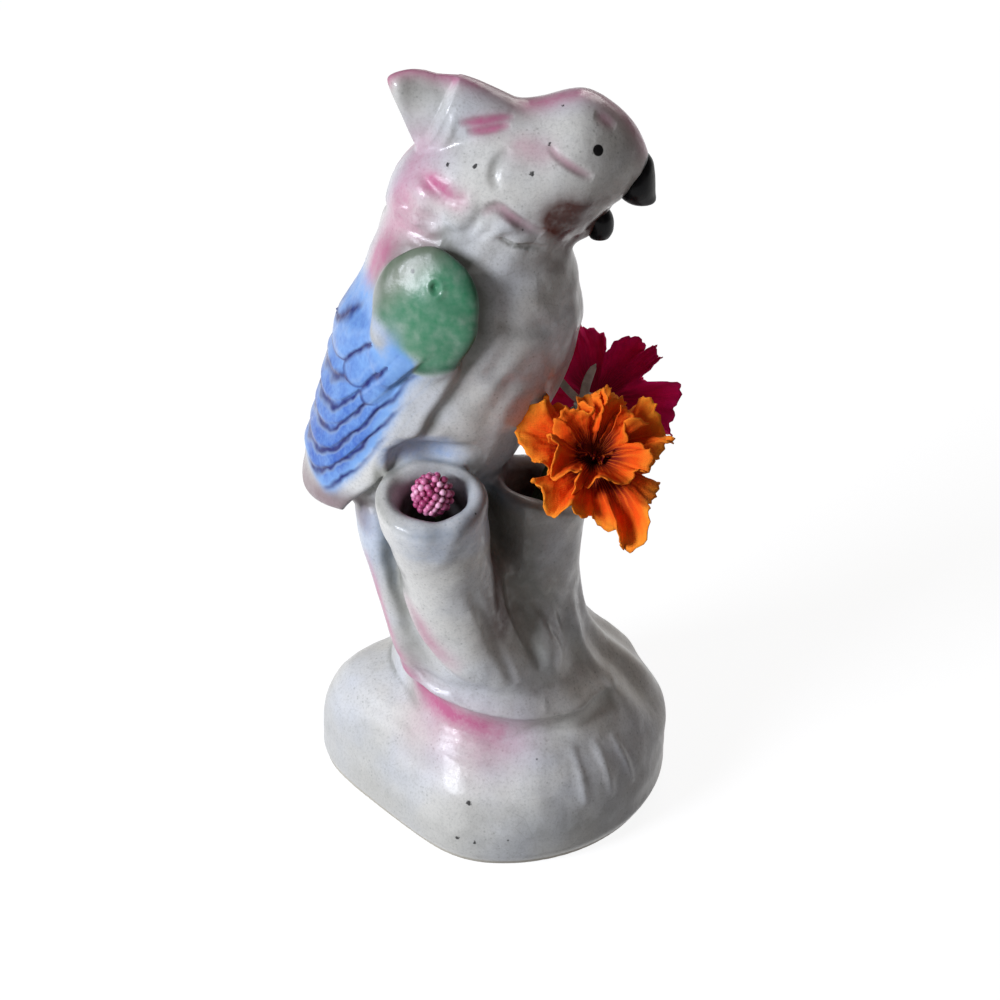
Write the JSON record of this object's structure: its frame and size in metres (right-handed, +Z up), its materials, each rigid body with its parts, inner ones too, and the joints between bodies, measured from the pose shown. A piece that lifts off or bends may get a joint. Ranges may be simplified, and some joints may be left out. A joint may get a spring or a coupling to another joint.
{
  "type": "ceramic parrot flower holder",
  "caption": "Glazed ceramic crested parrot perched on a tree stump whose hollow branches hold cloth carnations and a beaded berry pick.",
  "frame": {"origin": "middle of the flat foot, on the surface that the figurine stands on", "axes": "+Z up, +X the way the bird faces, -Y its right-hand side, which the picture shows"},
  "size_m": [0.0679, 0.0582, 0.1432],
  "materials": {
    "ivory_glaze": "glossy crackled glaze",
    "blue_glaze": "glossy cobalt wash",
    "green_glaze": "glossy",
    "black_glaze": "glossy",
    "orange_cloth": "woven, pinked edges",
    "magenta_cloth": "woven, pinked edges",
    "beige_cloth": "stiff cloth",
    "green_plastic": "matte",
    "pink_bead": "glossy"
  },
  "bodies": {
    "figurine": {"base_mound": "ivory_glaze", "stump": "ivory_glaze", "front_branch": "ivory_glaze", "flower_branch": "ivory_glaze", "tail": "ivory_glaze", "bird_body": "ivory_glaze", "head": "ivory_glaze", "crest": "ivory_glaze", "upper_beak": "black_glaze", "lower_beak": "black_glaze", "right_wing": "blue_glaze", "left_wing": "blue_glaze", "right_shoulder": "green_glaze", "left_shoulder": "green_glaze"},
    "orange_carnation": {"orange_outer_petals": "orange_cloth", "orange_middle_petals": "orange_cloth", "orange_inner_petals": "orange_cloth", "orange_calyx": "green_plastic", "orange_stem": "green_plastic"},
    "magenta_carnation": {"magenta_outer_petals": "magenta_cloth", "magenta_middle_petals": "magenta_cloth", "magenta_inner_petals": "magenta_cloth", "magenta_calyx": "beige_cloth", "magenta_stem": "green_plastic"},
    "berry_pick": {"berry_cluster": "pink_bead", "berry_wire": "green_plastic"}
  },
  "joints": [
    {"name": "orange_carnation_lift", "type": "slide", "parent": "figurine", "child": "orange_carnation", "axis": [0.3597, -0.1599, 0.9193], "range_m": [0, 0.024]},
    {"name": "magenta_carnation_lift", "type": "slide", "parent": "figurine", "child": "magenta_carnation", "axis": [0.3607, 0.0401, 0.9318], "range_m": [0, 0.024]},
    {"name": "berry_pick_lift", "type": "slide", "parent": "figurine", "child": "berry_pick", "axis": [-0.1, -0.3439, 0.9337], "range_m": [0, 0.03]}
  ]
}
